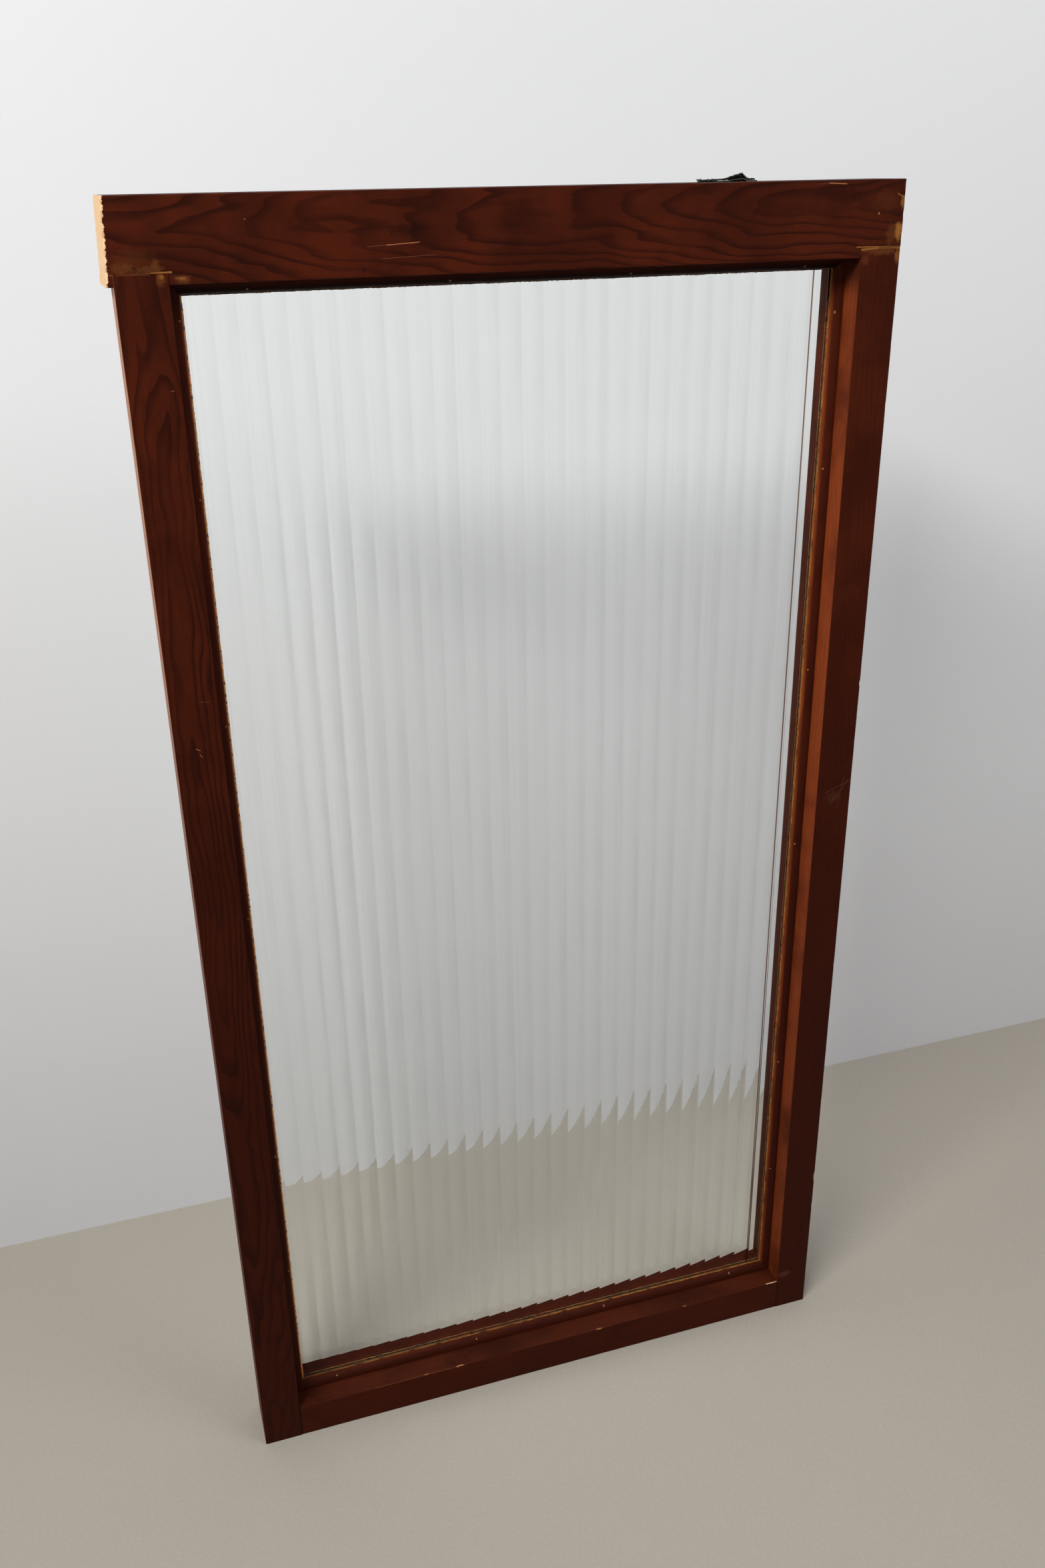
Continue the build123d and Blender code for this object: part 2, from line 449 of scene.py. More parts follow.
def head_ends(graph, color):
    """Fresh end grain on the left, its pale colour running raggedly round; stained on the right."""
    # Painted shade on the faces that look down
    color = shaded_below(graph, color)
    spread = graph.times(graph.minus(graph.y, FRONT_Y), SAWN_SPREAD)
    lean = graph.times(graph.minus(graph.z, HEAD_ARRIS_Z), SAWN_LEAN)
    from_end = graph.minus(graph.x, graph.minus(LEFT_X - SAWN_OUT, graph.minus(spread, lean)))
    ragged = graph.noise(graph.combine(graph.times(graph.x, 0.3), graph.y, graph.z), 420.0, 4.0, 0.7)
    torn = graph.plus(from_end, graph.times(graph.minus(ragged, 0.5), 0.006))
    sawn = graph.step(graph.times(graph.facing_x, -1.0), 0.4, 0.7)
    sawn = graph.math("MAXIMUM", sawn, graph.step(torn, 0.0018, 0.0010))
    sawn = graph.times(sawn, graph.step(from_end, 0.0060, 0.0050))
    saw_place = graph.combine(0.0, graph.times(graph.y, 160.0), graph.times(graph.z, 1500.0))
    saw_marks = graph.noise(saw_place, 1.0, 2.0)
    pores = graph.noise(graph.combine(0.0, graph.y, graph.z), 900.0, 3.0, 0.6)
    raw = graph.mix(graph.times(graph.late, 0.9), RAW_TIMBER, RAW_LATEWOOD)
    raw = graph.mix(graph.times(graph.step(saw_marks, 0.5, 0.8), 0.35), raw, RAW_LATEWOOD)
    raw = graph.mix(graph.times(graph.step(pores, 0.55, 0.75), 0.4), raw, RAW_LATEWOOD)
    color = graph.mix(sawn, color, raw)

    stained = graph.mix(graph.step(pores, 0.35, 0.65), STAIN_DARK, WORN)
    stained = graph.mix(graph.times(graph.late, 0.7), stained, STAIN_DARK)
    chipped = graph.step(graph.noise(graph.combine(0.0, graph.y, graph.z), 75.0, 4.0, 0.7), 0.60, 0.68)
    near_face = graph.step(graph.y, FRONT_Y + 0.030, FRONT_Y + 0.004)
    stained = graph.mix(graph.times(chipped, near_face), stained, BARE)
    stained = graph.mix(filled_joint(graph, 0.007), stained, FILLER)
    return graph.mix(right_outer_side(graph), color, stained)


# Glass, putty and felt

# The flutes are 0.2 mm less deep than the solid's: the teeth that are seen through them
# where the floor meets the wall then have the photo's height
FLUTE_PITCH = 0.0218
FLUTE_DEPTH = 0.0013
FLUTE_SHIFT = 0.0052
FLUTE_COUNT = int((pane_high.x - pane_low.x) / FLUTE_PITCH) + 2
FIRST_RIDGE_X = (pane_low.x + pane_high.x) / 2 - FLUTE_COUNT * FLUTE_PITCH / 2 + FLUTE_SHIFT
# Painted refraction: where the right jamb's edge is seen through the glass as a thin brown line
REFRACTED_LINE_X = OPENING_RIGHT_X - 0.0287
CLEAR_GLASS = rgb(251, 253, 252)
SHADED_AND_DRAWN_GLASS = rgb(232, 235, 234)
PAINTED_REFRACTION = rgb(70, 30, 16)
LAMP_THROUGH_GLASS = (0.68, 0.68, 0.68, 1.0)


def glass_material():
    """Clear fluted glass with faint drawn lines, painted shade across each flute and a painted refraction
    near the right edge, which lets the lamps through.
    """
    graph = Graph("fluted_glass")
    drawn = graph.noise(graph.combine(graph.times(graph.x, 260.0), 0.0, graph.times(graph.z, 3.0)), 1.0)
    dimples = graph.combine(graph.times(graph.x, 70.0), 1.0, graph.times(graph.z, 55.0))
    dimples = graph.times(graph.noise(dimples, 1.0, 1.0), 0.8)
    # Painted shade across each flute: rising towards the next ridge and dropping at it, stronger in places;
    # the drawn lines are added to it
    flute = graph.math("DIVIDE", graph.minus(graph.x, FIRST_RIDGE_X), FLUTE_PITCH)
    across_flute = graph.math("FRACT", graph.plus(flute, 10.0))
    shaded = graph.times(graph.step(across_flute, 0.25, 1.0), graph.step(across_flute, 1.0, 0.96))
    strength = graph.noise(graph.combine(graph.x, 0.0, graph.times(graph.z, 0.25)), 34.0)
    strength = graph.times(graph.step(strength, 0.3, 0.7), 0.30)
    shade_and_drawn_lines = graph.times(shaded, graph.plus(0.06, strength))
    shade_and_drawn_lines = graph.plus(shade_and_drawn_lines, graph.times(graph.step(drawn, 0.45, 0.75), 0.14))
    color = graph.mix(shade_and_drawn_lines, CLEAR_GLASS, SHADED_AND_DRAWN_GLASS)
    # Painted refraction: a thin brown line on the room side, where the right jamb's edge is seen through the
    # glass
    from_line = graph.math("ABSOLUTE", graph.minus(graph.x, REFRACTED_LINE_X))
    on_room_side = graph.step(graph.y, pane_low.y + 0.0030, pane_low.y + 0.0020)
    color = graph.mix(graph.times(graph.step(from_line, 0.0009, 0.0006), on_room_side), color, PAINTED_REFRACTION)
    uneven = graph.bump(graph.plus(drawn, dimples), 0.00016, 0.5)
    glass = graph.surface(color, 0.0, uneven, Transmission_Weight=1.0, IOR=1.52)
    clear = graph.plain("ShaderNodeBsdfTransparent", LAMP_THROUGH_GLASS)
    graph.blend(graph.node("ShaderNodeLightPath").outputs["Is Shadow Ray"], glass, clear)
    return graph.material


def putty_material(name, body, stained, crumbs):
    """Old putty, stained unevenly with the timber, with grimy and with pale crumbs."""
    graph = Graph(name)
    spread = graph.noise(graph.point, 38.0, 3.0, 0.6)
    blotch = graph.noise(graph.point, 210.0, 3.0, 0.65)
    color = graph.mix(graph.step(spread, 0.40, 0.58), body, stained)
    color = graph.mix(graph.step(blotch, 0.50, 0.66), color, rgb(52, 38, 26))
    color = graph.mix(graph.step(blotch, 0.40, 0.30), color, crumbs)
    graph.surface(color, 0.7, graph.bump(blotch, 0.0005))
    return graph.material


def felt_material():
    """Dark bitumen felt, green grey, with a matted face."""
    graph = Graph("felt")
    fuzz = graph.noise(graph.point, 900.0, 4.0, 0.7)
    color = graph.mix(graph.step(fuzz, 0.35, 0.7), rgb(38, 39, 32), rgb(76, 76, 61))
    graph.surface(color, 0.95, graph.bump(fuzz, 0.0006))
    return graph.material


def linked_object(name, bm, material):
    """A new object in the scene, made from a bmesh, with one material."""
    mesh = bpy.data.meshes.new(name)
    bm.to_mesh(mesh)
    bm.free()
    mesh.materials.append(material)
    made = bpy.data.objects.new(name, mesh)
    bpy.context.scene.collection.objects.link(made)
    return made


def dress(node, material):
    """Gives a carried-over piece one finished material."""
    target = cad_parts[node]
    target.data.materials.clear()
    target.data.materials.append(material)


# Marks on the bars, at their places on the room face as x and z

HEAD_MARKS = (
    (scratch, (-0.372, 1.3546), (-0.330, 1.3550), 0.0005, FILLER, 0.5),
    (scratch, (-0.338, 1.3552), (-0.322, 1.3556), 0.0009, FILLER, 0.95),
    (patch, (-0.362, 1.3590), (0.012, 0.0055), WORN, 0.75),
    (patch, (-0.340, 1.3580), (0.014, 0.0035), WORN, 0.7),
    (patch, (-0.334, 1.3620), (0.004, 0.0050), WORN, 0.8),
    (patch, (-0.313, 1.3495), (0.008, 0.0040), WORN, 0.9),
    (patch, (-0.314, 1.3505), (0.005, 0.0020), FILLER, 0.45),
    (patch, (-0.352, 1.3660), (0.022, 0.0100), WORN, 0.25),
    (scratch, (-0.155, 1.3703), (-0.135, 1.3713), 0.0003, DUST, 0.7),
    (scratch, (-0.138, 1.3711), (-0.109, 1.3727), 0.0004, BARE, 0.8),
    (scratch, (-0.142, 1.3603), (-0.094, 1.3620), 0.0003, DUST, 0.7),
    (patch, (-0.159, 1.3511), (0.0018, 0.0026), GRIME_AND_SHADE, 0.8),
    (patch, (-0.2575, 1.3946), (0.0012, 0.0008), DUST, 0.9),
    (scratch, (0.322, 1.3556), (0.345, 1.3553), 0.0006, FILLER, 0.9),
    (scratch, (0.345, 1.3553), (0.370, 1.3550), 0.0006, FILLER, 0.6),
    (patch, (0.366, 1.3690), (0.005, 0.0090), FILLER, 0.85),
    (patch, (0.358, 1.3660), (0.006, 0.0110), WORN, 0.6),
    (patch, (0.368, 1.3950), (0.003, 0.0060), FILLER, 0.6),
    (scratch, (0.362, 1.4020), (0.369, 1.3990), 0.0004, BARE, 0.7),
    (patch, (0.343, 1.3850), (0.0010, 0.0014), BARE, 0.9),
    (scratch, (0.288, 1.4125), (0.306, 1.4115), 0.0005, BARE, 0.8),
    (scratch, (0.276, 1.4118), (0.292, 1.4121), 0.0003, DUST, 0.7),
    (patch, (0.305, 1.4020), (0.028, 0.0080), STAIN_DARK, 0.5),
    (patch, (-0.120, 1.3830), (0.024, 0.0060), STAIN_DARK, 0.6),
    (patch, (0.350, 1.3960), (0.018, 0.0110), WORN, 0.25),
)
RIGHT_MARKS = (
    (scratch, (0.3275, 1.3530), (0.345, 1.3540), 0.0013, FILLER, 0.75),
    (scratch, (0.345, 1.3540), (0.369, 1.3538), 0.0008, FILLER, 0.6),
    (patch, (0.350, 1.3510), (0.020, 0.0040), WORN, 0.8),
    (patch, (0.367, 1.3470), (0.003, 0.0080), FILLER, 0.5),
    (patch, (0.333, 1.3440), (0.004, 0.0060), WORN, 0.5),
    (scratch, (0.3384, 0.7760), (0.372, 0.7890), 0.0004, DUST, 0.6),
    (scratch, (0.3440, 0.7600), (0.366, 0.7880), 0.0004, DUST, 0.5),
    (scratch, (0.3540, 0.7540), (0.360, 0.7930), 0.0003, DUST, 0.5),
    (patch, (0.3480, 0.7700), (0.012, 0.0080), DUST, 0.15),
    (patch, (0.3360, 0.0560), (0.010, 0.0060), DUST, 0.3),
)
LEFT_MARKS = (
    (patch, (-0.3310, 1.3500), (0.0045, 0.0060), WORN, 0.8),
    (patch, (-0.3300, 1.3520), (0.0030, 0.0020), FILLER, 0.5),
    (scratch, (-0.3660, 1.3542), (-0.3400, 1.3543), 0.0006, WORN, 0.7),
    (patch, (-0.3320, 1.2600), (0.0015, 0.0009), DUST, 0.8),
    (scratch, (-0.3500, 0.9290), (-0.3460, 0.9270), 0.0004, BARE, 0.6),
    (scratch, (-0.3470, 0.9230), (-0.3450, 0.9200), 0.0004, BARE, 0.6),
    (scratch, (-0.3420, 0.9760), (-0.3320, 0.9750), 0.0003, DUST, 0.7),
)
RAIL_MARKS = (
    (scratch, (-0.3240, 0.0), (-0.3240, 0.044), 0.0005, GRIME_AND_SHADE, 0.9),
    (scratch, (0.3266, 0.0), (0.3266, 0.044), 0.0005, GRIME_AND_SHADE, 0.9),
    (scratch, (0.3110, 0.0452), (0.3265, 0.0452), 0.0006, RAW_TIMBER, 0.6),
    (patch, (-0.1206, 0.0446), (0.0060, 0.0008), BARE, 0.8),
    (patch, (-0.1640, 0.0450), (0.0040, 0.0006), BARE, 0.6),
    (scratch, (-0.2300, 0.0446), (-0.1300, 0.0446), 0.0004, WORN, 0.6),
    (patch, (0.0690, 0.0446), (0.0050, 0.0006), BARE, 0.6),
    (patch, (0.1900, 0.0448), (0.0030, 0.0006), BARE, 0.5),
)

HEAD_TIMBER = timber(
    "stain_head", "x", ((1.397, 0.092), (0.0, -0.075), 0.0048, (0.018, 0.022)), 3.1,
    marks=HEAD_MARKS, finish=head_ends,
)
LEFT_TIMBER = timber(
    "stain_left", "z", ((-0.352, 0.036), (0.02, -0.045), 0.0058, (0.030, 0.030)), 11.7,
    marks=LEFT_MARKS, finish=raw_outer_side,
)
RIGHT_TIMBER = timber(
    "stain_right", "z", ((0.45, 0.10), (0.0, 0.0), 0.0040, (0.01, 0.01)), 23.9,
    contrast=0.25, reveal=LIT_REVEAL, marks=RIGHT_MARKS, finish=stained_outer_side,
)
RAIL_TIMBER = timber(
    "stain_rail", "x", ((0.08, 0.06), (0.0, 0.0), 0.0060, (0.03, 0.02)), 31.3,
    contrast=0.35, low_shade=0.35, marks=RAIL_MARKS,
)
BEAD_RINGS = ((0.2, 0.2), (0.0, 0.0), 0.003, (0.01, 0.01))
BEAD_X_TIMBER = timber("stain_bead_x", "x", BEAD_RINGS, 43.0, contrast=0.3, finish=gilded_edge)
BEAD_Z_TIMBER = timber(
    "stain_bead_z", "z", BEAD_RINGS, 47.0, contrast=0.3, reveal=LIT_REVEAL, finish=gilded_edge
)


# Worn bars: the solids' own meshes, cut into short lengths so that their arrises can wear

ARRIS_REACH = 0.0022
STATION = 0.005
END_REACH = 0.010
END_STATION = 0.0016
END_CUTS = 5
TORN_REACH = 0.0055
ACROSS_CUTS = 24
DEPTH_CUTS = 16
SHARP_BEND = math.radians(28)
SAW_SKEW = 0.005
SAWN_KEPT_X = LEFT_X + 0.001


def cut(bm, place, normal):
    """Adds a loop of edges where a plane passes through the mesh."""
    everything = bm.verts[:] + bm.edges[:] + bm.faces[:]
    bmesh.ops.bisect_plane(bm, geom=everything, plane_co=place, plane_no=normal, dist=1e-6)


def worn_bar(node, along, material, arrises, seed, nicks=(), ends=()):
    """A bar with worn and nicked arrises, standing for the plain one.

    arrises are places across the bar where a front arris runs. nicks are tuples of a place
    along the bar, one across it, a reach and a depth. ends are places along the bar where it
    ends in torn or sawn end grain.
    """
    low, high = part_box(node)
    run_axis, across_axis = (2, 0) if along == "z" else (0, 2)
    run_normal = Vector((0, 0, 1)) if along == "z" else Vector((1, 0, 0))
    across_normal = Vector((1, 0, 0)) if along == "z" else Vector((0, 0, 1))
    bm = bmesh.new()
    bm.from_mesh(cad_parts[node].data)
    bmesh.ops.remove_doubles(bm, verts=bm.verts, dist=1e-6)
    steps = int((high[run_axis] - low[run_axis]) / STATION)
    for number in range(1, steps):
        place = low[run_axis] + (number + rng.uniform(-0.3, 0.3)) * STATION
        cut(bm, run_normal * place, run_normal)
    for arris in arrises:
        for way in (-1, 1):
            cut(bm, across_normal * (arris + way * ARRIS_REACH), across_normal)
    cut(bm, Vector((0, FRONT_Y + ARRIS_REACH, 0)), Vector((0, 1, 0)))
    for end in ends:
        for number in range(1, END_CUTS):
            way = 1 if end < 0 else -1
            cut(bm, run_normal * (end + way * number * END_STATION), run_normal)
    if ends:
        for number in range(1, ACROSS_CUTS):
            place = low[across_axis] + (high[across_axis] - low[across_axis]) * number / ACROSS_CUTS
            cut(bm, across_normal * place, across_normal)
        for number in range(1, DEPTH_CUTS):
            cut(bm, Vector((0, low.y + (high.y - low.y) * number / DEPTH_CUTS, 0)), Vector((0, 1, 0)))

    for vertex in bm.verts:
        if node == "head" and vertex.co.x < SAWN_KEPT_X:
            plain_x = low.x + SAW_SKEW * (high.y - vertex.co.y) / (high.y - low.y)
            share = (SAWN_KEPT_X - vertex.co.x) / (SAWN_KEPT_X - plain_x)
            vertex.co.x = SAWN_KEPT_X - share * (SAWN_KEPT_X - sawn_end_x(vertex.co.y, vertex.co.z))
        place = vertex.co.copy()
        run = place[run_axis]
        for arris in arrises:
            off = math.hypot(place[across_axis] - arris, place.y - FRONT_Y)
            if off > ARRIS_REACH * 0.9:
                continue
            inward = across_normal * (1 if arris < (low[across_axis] + high[across_axis]) / 2 else -1)
            inward = (inward + Vector((0, 1, 0))).normalized()
            wear = 0.00010 + 0.00010 * noise.noise(Vector((run * 60, arris * 50, seed)))
            bruise = noise.noise(Vector((run * 130, arris * 90 + 5, seed + 2)))
            wear += 0.0011 * max(0.0, bruise - 0.42)
            for nick_run, nick_across, reach, depth in nicks:
                if abs(nick_across - arris) < 0.01:
                    wear += depth * max(0.0, 1 - abs(run - nick_run) / reach)
            vertex.co += inward * wear
        for end in ends:
            from_end = abs(run - end)
            if from_end >= TORN_REACH:
                continue
            fade = 1 - from_end / END_REACH
            inward = run_normal * (1 if end < 0 else -1)
            rough = abs(noise.noise(Vector((place.x * 30, place.y * 240, place.z * 240))))
            coarse = abs(noise.noise(Vector((seed, place.y * 70, place.z * 70))))
            vertex.co += inward * (0.0007 * rough + 0.0011 * coarse) * fade
    made = linked_object(f"worn_{node}", bm, material)
    made.data.shade_smooth()
    made.data.set_sharp_from_angle(angle=SHARP_BEND)
    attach(made, "root")
    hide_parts(node)


worn_bar("head", "x", HEAD_TIMBER, (HEAD_TOP_Z, HEAD_ARRIS_Z), 1.3, ends=(head_low.x, head_high.x))
worn_bar("left_jamb", "z", LEFT_TIMBER, (LEFT_X, OPENING_LEFT_X), 2.7)
worn_bar(
    "right_jamb", "z", RIGHT_TIMBER, (OPENING_RIGHT_X, RIGHT_X), 4.1,
    nicks=((0.2150, RIGHT_X, 0.007, 0.0016), (0.905, RIGHT_X, 0.004, 0.0008)),
)
worn_bar(
    "bottom_rail", "x", RAIL_TIMBER, (0.0, RAIL_ARRIS_Z), 5.9,
    nicks=((-0.1206, RAIL_ARRIS_Z, 0.004, 0.0010), (0.0690, RAIL_ARRIS_Z, 0.003, 0.0008)),
)


# Putty lines in front of the glass

PUTTY_STATION = 0.0012


def ragged_putty(side, material, inner_axis, inner_sign, squeeze, seed):
    """The putty line in front of the glass, its free edge squeezed out unevenly.

    inner_axis and inner_sign say which way the free edge looks, squeeze how far it stands out.
    """
    node = f"{side}_front_bedding"
    low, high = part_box(node)
    run_axis = 2 if inner_axis == 0 else 0
    run_normal = Vector((0, 0, 1)) if run_axis == 2 else Vector((1, 0, 0))
    inner = high[inner_axis] if inner_sign > 0 else low[inner_axis]
    bm = bmesh.new()
    bm.from_mesh(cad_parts[node].data)
    bmesh.ops.remove_doubles(bm, verts=bm.verts, dist=1e-6)
    steps = int((high[run_axis] - low[run_axis]) / PUTTY_STATION)
    for number in range(1, steps):
        place = low[run_axis] + number * (high[run_axis] - low[run_axis]) / steps
        cut(bm, run_normal * place, run_normal)
    for vertex in bm.verts:
        if abs(vertex.co[inner_axis] - inner) > 1e-5:
            continue
        run = vertex.co[run_axis]
        swell = noise.noise(Vector((run * 55, seed, 0.0)))
        crumb = noise.noise(Vector((run * 420, seed, vertex.co.y * 300)))
        vertex.co[inner_axis] += inner_sign * (0.00035 * swell + 0.0006 * crumb + squeeze)
    made = linked_object(f"ragged_{node}", bm, material)
    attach(made, "root")
    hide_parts(node)


# The golden putty is the putty's own colour; the paler copy on the left is painted light, the duller copy at
# the top and bottom is painted shade
golden_putty = putty_material("putty", rgb(132, 72, 30), rgb(120, 88, 44), rgb(186, 112, 52))
lit_putty = putty_material("lit_putty", rgb(236, 158, 84), rgb(226, 172, 98), rgb(246, 196, 130))
shaded_putty = putty_material("shaded_putty", rgb(84, 42, 22), rgb(78, 56, 32), rgb(150, 96, 50))
putty_lines = (
    ("left", 0, 1, 0.0005, lit_putty), ("right", 0, -1, -0.0004, golden_putty),
    ("top", 2, -1, 0.0003, shaded_putty), ("bottom", 2, 1, -0.0004, shaded_putty),
)
for side, inner_axis, inner_sign, squeeze, putty in putty_lines:
    dress(f"{side}_bead", BEAD_Z_TIMBER if inner_axis == 0 else BEAD_X_TIMBER)
    ragged_putty(side, putty, inner_axis, inner_sign, squeeze, 3.0 * inner_axis + inner_sign)
    dress(f"{side}_back_bedding", golden_putty)


# Panel pins, each under a dab of pale filler on the slope of its bead

BEAD = 0.010
BEAD_BACK_Y = pane_low.y - 0.001
SLOPE = BEAD * math.sqrt(0.5)
PIN_HEIGHTS = (1.294, 1.139, 0.917, 0.700, 0.389, 0.218)
PIN_SHARES = (0.08, 0.36, 0.63, 0.91)
DAB_RADIUS = 0.0012
DAB_THICKNESS = 0.0004
DAB_SINK = 0.0002


def bead_pins():
    """All the dabs as one mesh: flattened balls that sit in the bead's rounded face."""
    bm = bmesh.new()
    places = [(OPENING_RIGHT_X - SLOPE, z, Vector((-1, -1, 0))) for z in PIN_HEIGHTS]
    places += [(OPENING_LEFT_X + SLOPE, z + 0.02, Vector((1, -1, 0))) for z in PIN_HEIGHTS]
    for share in PIN_SHARES:
        x = OPENING_LEFT_X + (OPENING_RIGHT_X - OPENING_LEFT_X) * share
        places.append((x, RAIL_ARRIS_Z + SLOPE, Vector((0, -1, 1))))
        places.append((x + 0.015, HEAD_ARRIS_Z - SLOPE, Vector((0, -1, -1))))
    for x, z, outward in places:
        turn = outward.normalized().to_track_quat("Z", "Y").to_matrix().to_4x4()
        long = rng.uniform(0.8, 1.5)
        shape = Matrix.Diagonal((DAB_RADIUS, DAB_RADIUS * long, DAB_THICKNESS, 1.0))
        sit = Vector((x, BEAD_BACK_Y - SLOPE, z)) - outward.normalized() * DAB_SINK
        bmesh.ops.create_uvsphere(
            bm, u_segments=14, v_segments=8, radius=1.0, matrix=Matrix.Translation(sit) @ turn @ shape
        )
    graph = Graph("pin_filler")
    mottle = graph.noise(graph.point, 900.0)
    graph.surface(graph.mix(mottle, rgb(160, 100, 52), rgb(104, 56, 28)), 0.8)
    pins = linked_object("bead_pins", bm, graph.material)
    pins.data.shade_smooth()
    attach(pins, "root")


bead_pins()


# Felt scrap

FELT_THICKNESS = 0.0009


def felt_scrap():
    """A torn double layer on the head, its front lifted into a peak towards the right."""
    low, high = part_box("felt_scrap")
    across, deep = 46, 12
    lift_start, lift_peak, lift_end = 0.30, 0.78, 0.90
    bm = bmesh.new()
    for layer in range(2):
        grid = []
        shift = 0.004 * layer
        for i in range(across + 1):
            share = i / across
            plain_x = low.x + 0.001 + (high.x - low.x - 0.002) * share
            column = []
            torn = 0.003 * noise.noise(Vector((plain_x * 420, layer, 1.0)))
            torn += 0.004 * noise.noise(Vector((plain_x * 85, layer, 8.0)))
            back = 0.004 * noise.noise(Vector((plain_x * 260, layer, 5.0)))
            back += 0.006 * noise.noise(Vector((plain_x * 70, layer, 3.0)))
            for j in range(deep + 1):
                part = j / deep
                y = low.y + 0.0010 + shift + torn * (1 - part)
                y = max(y, low.y + 0.0004) + (high.y - low.y - 0.006 + back) * part
                slant = (part - 0.5) * 0.012 + 0.005 * noise.noise(Vector((part * 9, layer, share)))
                x = plain_x + slant * (2 * share - 1) * (1.0 if share > 0.5 else 1.5)
                x = min(max(x, low.x + 0.0004), high.x - 0.0004)
                if share < lift_peak:
                    lift = max(0.0, (share - lift_start) / (lift_peak - lift_start))
                else:
                    lift = max(0.0, 1 - (share - lift_peak) / (lift_end - lift_peak))
                lift *= (1 - part) ** 1.3 * (1.0 if layer else 0.35)
                crumple = 0.0007 * noise.noise(Vector((x * 240, y * 240, layer * 3.0)))
                z = low.z + 0.0008 + 0.0012 * layer + 0.0058 * lift + abs(crumple)
                column.append(bm.verts.new((x, min(y, high.y - 0.0005), min(z, high.z - 0.0010))))
            grid.append(column)
        for i in range(across):
            for j in range(deep):
                bm.faces.new((grid[i][j], grid[i + 1][j], grid[i + 1][j + 1], grid[i][j + 1]))
    bmesh.ops.recalc_face_normals(bm, faces=bm.faces)
    scrap = linked_object("torn_felt", bm, felt_material())
    scrap.data.shade_smooth()
    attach(scrap, "root")
    thick = scrap.modifiers.new("thickness", "SOLIDIFY")
    thick.thickness = FELT_THICKNESS
    thick.offset = -1.0
    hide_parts("felt_scrap")


felt_scrap()


# Fluted pane

FACETS = 24
ROWS = 48
RIDGE_SHARPNESS = 2.0
SHARP_EDGE = math.radians(50)


def fluted_pane():
    """The solid's flutes with many more facets, smooth hollows and a slightly uneven face."""
    section, ridges = [], []
    for flute in range(FLUTE_COUNT):
        for facet in range(FACETS):
            offset = (facet / FACETS - 0.5) * FLUTE_PITCH
            x = FIRST_RIDGE_X + (flute + 0.5) * FLUTE_PITCH + offset
            if pane_low.x < x < pane_high.x:
                if facet == 0:
                    ridges.append(len(section))
                hollow = FLUTE_DEPTH * (1 - (2 * abs(offset) / FLUTE_PITCH) ** RIDGE_SHARPNESS)
                section.append((x, hollow))
    bm = bmesh.new()
    front, back = [], []
    for row in range(ROWS + 1):
        z = pane_low.z + (pane_high.z - pane_low.z) * row / ROWS
        front_row, back_row = [], []
        for x, hollow in section:
            wave = 0.00012 * noise.noise(Vector((x * 18, z * 5, 3.0)))
            y = pane_low.y + hollow * (1 + 0.05 * noise.noise(Vector((x * 30, z * 3, 9.0)))) + abs(wave)
            front_row.append(bm.verts.new((x, y, z)))
            back_row.append(bm.verts.new((x, pane_high.y, z)))
        front.append(front_row)
        back.append(back_row)
    last = len(section) - 1
    for row in range(ROWS):
        for i in range(last):
            hollow_face = bm.faces.new(
                (front[row][i], front[row][i + 1], front[row + 1][i + 1], front[row + 1][i])
            )
            hollow_face.smooth = True
            bm.faces.new((back[row][i + 1], back[row][i], back[row + 1][i], back[row + 1][i + 1]))
        bm.faces.new((back[row][0], front[row][0], front[row + 1][0], back[row + 1][0]))
        bm.faces.new((front[row][last], back[row][last], back[row + 1][last], front[row + 1][last]))
    for i in range(last):
        bm.faces.new((front[0][i + 1], front[0][i], back[0][i], back[0][i + 1]))
        bm.faces.new((front[ROWS][i], front[ROWS][i + 1], back[ROWS][i + 1], back[ROWS][i]))
    for row in range(ROWS):
        for i in ridges:
            bm.edges.get((front[row][i], front[row + 1][i])).smooth = False
    for edge in bm.edges:
        if len(edge.link_faces) == 2 and edge.calc_face_angle() > SHARP_EDGE:
            edge.smooth = False
    bmesh.ops.recalc_face_normals(bm, faces=bm.faces)
    pane = linked_object("fluted_pane", bm, glass_material())
    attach(pane, "root")
    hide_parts("glass_pane")


fluted_pane()


# Stage: a pale floor, a pale wall behind, soft light from the left

FLOOR_REACH = 8
WALL_Y = 0.4336
WALL_LEFT_X = -0.80
WALL_RIGHT_X = 1.45
WALL_TOP_Z = 1.8
BACKGROUND = rgb(212, 212, 213)
SKY = (0.95, 0.97, 1.0, 1.0)
SKY_STRENGTH = 0.31


def stage_plane(name, corners, material):
    """A flat piece of the stage."""
    bm = bmesh.new()
    bm.faces.new([bm.verts.new(corner) for corner in corners])
    linked_object(name, bm, material)


def floor_material():
    """A plain pale floor that melts into the background far away."""
    graph = Graph("floor")
    speck = graph.noise(graph.point, 240.0)
    shader = graph.surface(graph.mix(speck, rgb(172, 165, 154), rgb(162, 155, 144)), 0.8)
    far = graph.times(graph.step(graph.diagonal(graph.x, graph.y), 1.6, 5.5), graph.seen())
    graph.blend(far, shader, graph.plain("ShaderNodeEmission", BACKGROUND))
    return graph.material


def wall_material():
    """A pale wall that is only there from its front, so that the window's back can be seen."""
    graph = Graph("wall")
    # Painted shade: the wall darker towards the floor
    color = graph.mix(graph.step(graph.z, 1.3, -0.2), rgb(230, 231, 233), rgb(204, 204, 206))
    shader = graph.surface(color, 0.9)
    graph.blend(graph.backfacing, shader, graph.node("ShaderNodeBsdfTransparent"))
    return graph.material


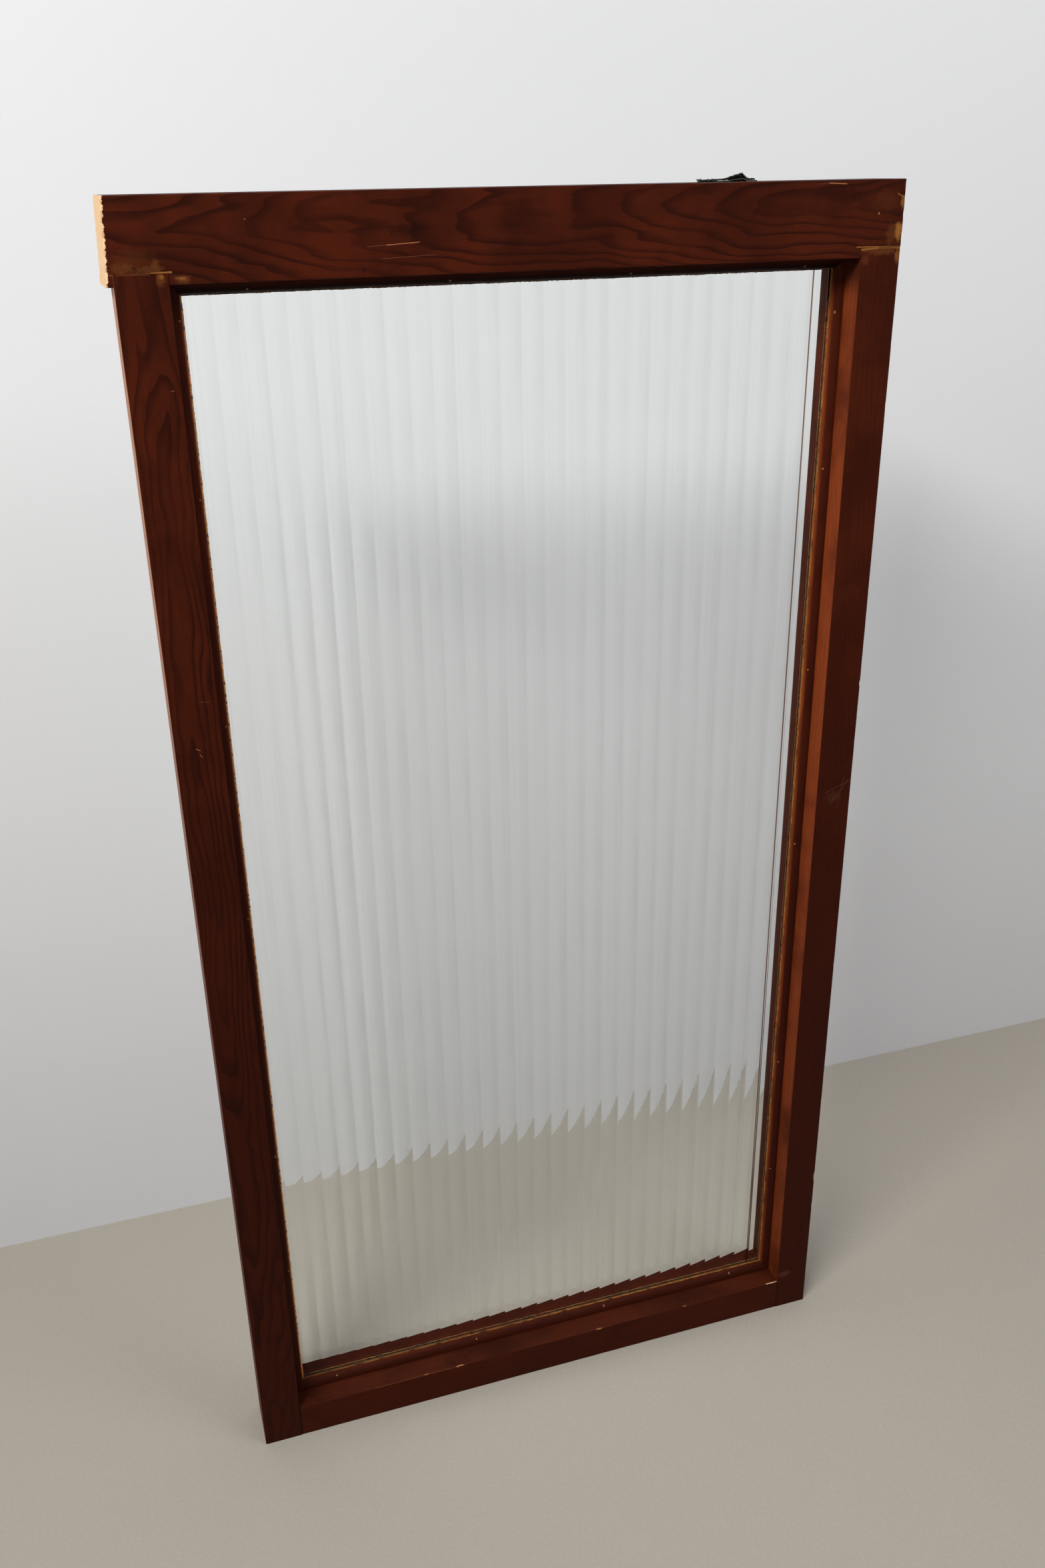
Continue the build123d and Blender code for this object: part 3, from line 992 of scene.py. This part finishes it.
floor_corners = ((-1, -1), (1, -1), (1, 1), (-1, 1))
stage_plane("floor", [(x * FLOOR_REACH, y * FLOOR_REACH, 0) for x, y in floor_corners], floor_material())
wall_corners = (
    (WALL_LEFT_X, WALL_Y, 0), (WALL_RIGHT_X, WALL_Y, 0),
    (WALL_RIGHT_X, WALL_Y, WALL_TOP_Z), (WALL_LEFT_X, WALL_Y, WALL_TOP_Z),
)
stage_plane("wall", wall_corners, wall_material())


def area_light(name, place, target, width, height, power, color):
    """A rectangular lamp that looks at a target."""
    lamp = bpy.data.lights.new(name, "AREA")
    lamp.shape = "RECTANGLE"
    lamp.size = width
    lamp.size_y = height
    lamp.energy = power
    lamp.color = color
    made = bpy.data.objects.new(name, lamp)
    made.location = place
    made.rotation_mode = "QUATERNION"
    made.rotation_quaternion = (Vector(target) - Vector(place)).to_track_quat("-Z", "Y")
    bpy.context.scene.collection.objects.link(made)


area_light("key_light", (-2.3, -2.0, 3.72), (0.0, 0.2, 1.0), 1.9, 0.45, 150.0, (1.0, 0.99, 0.97))
area_light("right_fill", (1.9, -1.9, 3.2), (0.5, 0.4, 1.2), 1.6, 1.2, 32.0, (0.97, 0.98, 1.0))
area_light("back_fill", (0.5, 2.6, 2.4), (0.0, 0.0, 0.7), 2.5, 2.0, 30.0, (1.0, 1.0, 1.0))

world = bpy.data.worlds.new("studio")
world.use_nodes = True
studio = Tree(world.node_tree, "ShaderNodeOutputWorld")
sky = studio.plain("ShaderNodeBackground", SKY, SKY_STRENGTH)
studio.blend(studio.seen(), sky, studio.plain("ShaderNodeBackground", BACKGROUND))
bpy.context.scene.world = world
bpy.context.scene.view_settings.view_transform = "Standard"

# Camera, solved from the photograph's straight edges on the window's own sizes
CAMERA_PLACE = Vector((-0.40898, -1.26462, 1.42955))
CAMERA_RIGHT = Vector((0.95232, -0.30468, -0.0158))
CAMERA_UP = Vector((0.13966, 0.38929, 0.91046))
FOCAL_LENGTH = 31.139
SENSOR_WIDTH = 36.0

camera_data = bpy.data.cameras.new("camera")
camera_data.lens = FOCAL_LENGTH
camera_data.sensor_width = SENSOR_WIDTH
camera = bpy.data.objects.new("camera", camera_data)
camera_back = CAMERA_RIGHT.cross(CAMERA_UP)
turn = Matrix((CAMERA_RIGHT, CAMERA_UP, camera_back)).transposed().to_4x4()
camera.matrix_world = Matrix.Translation(CAMERA_PLACE) @ turn
bpy.context.scene.collection.objects.link(camera)
bpy.context.scene.camera = camera
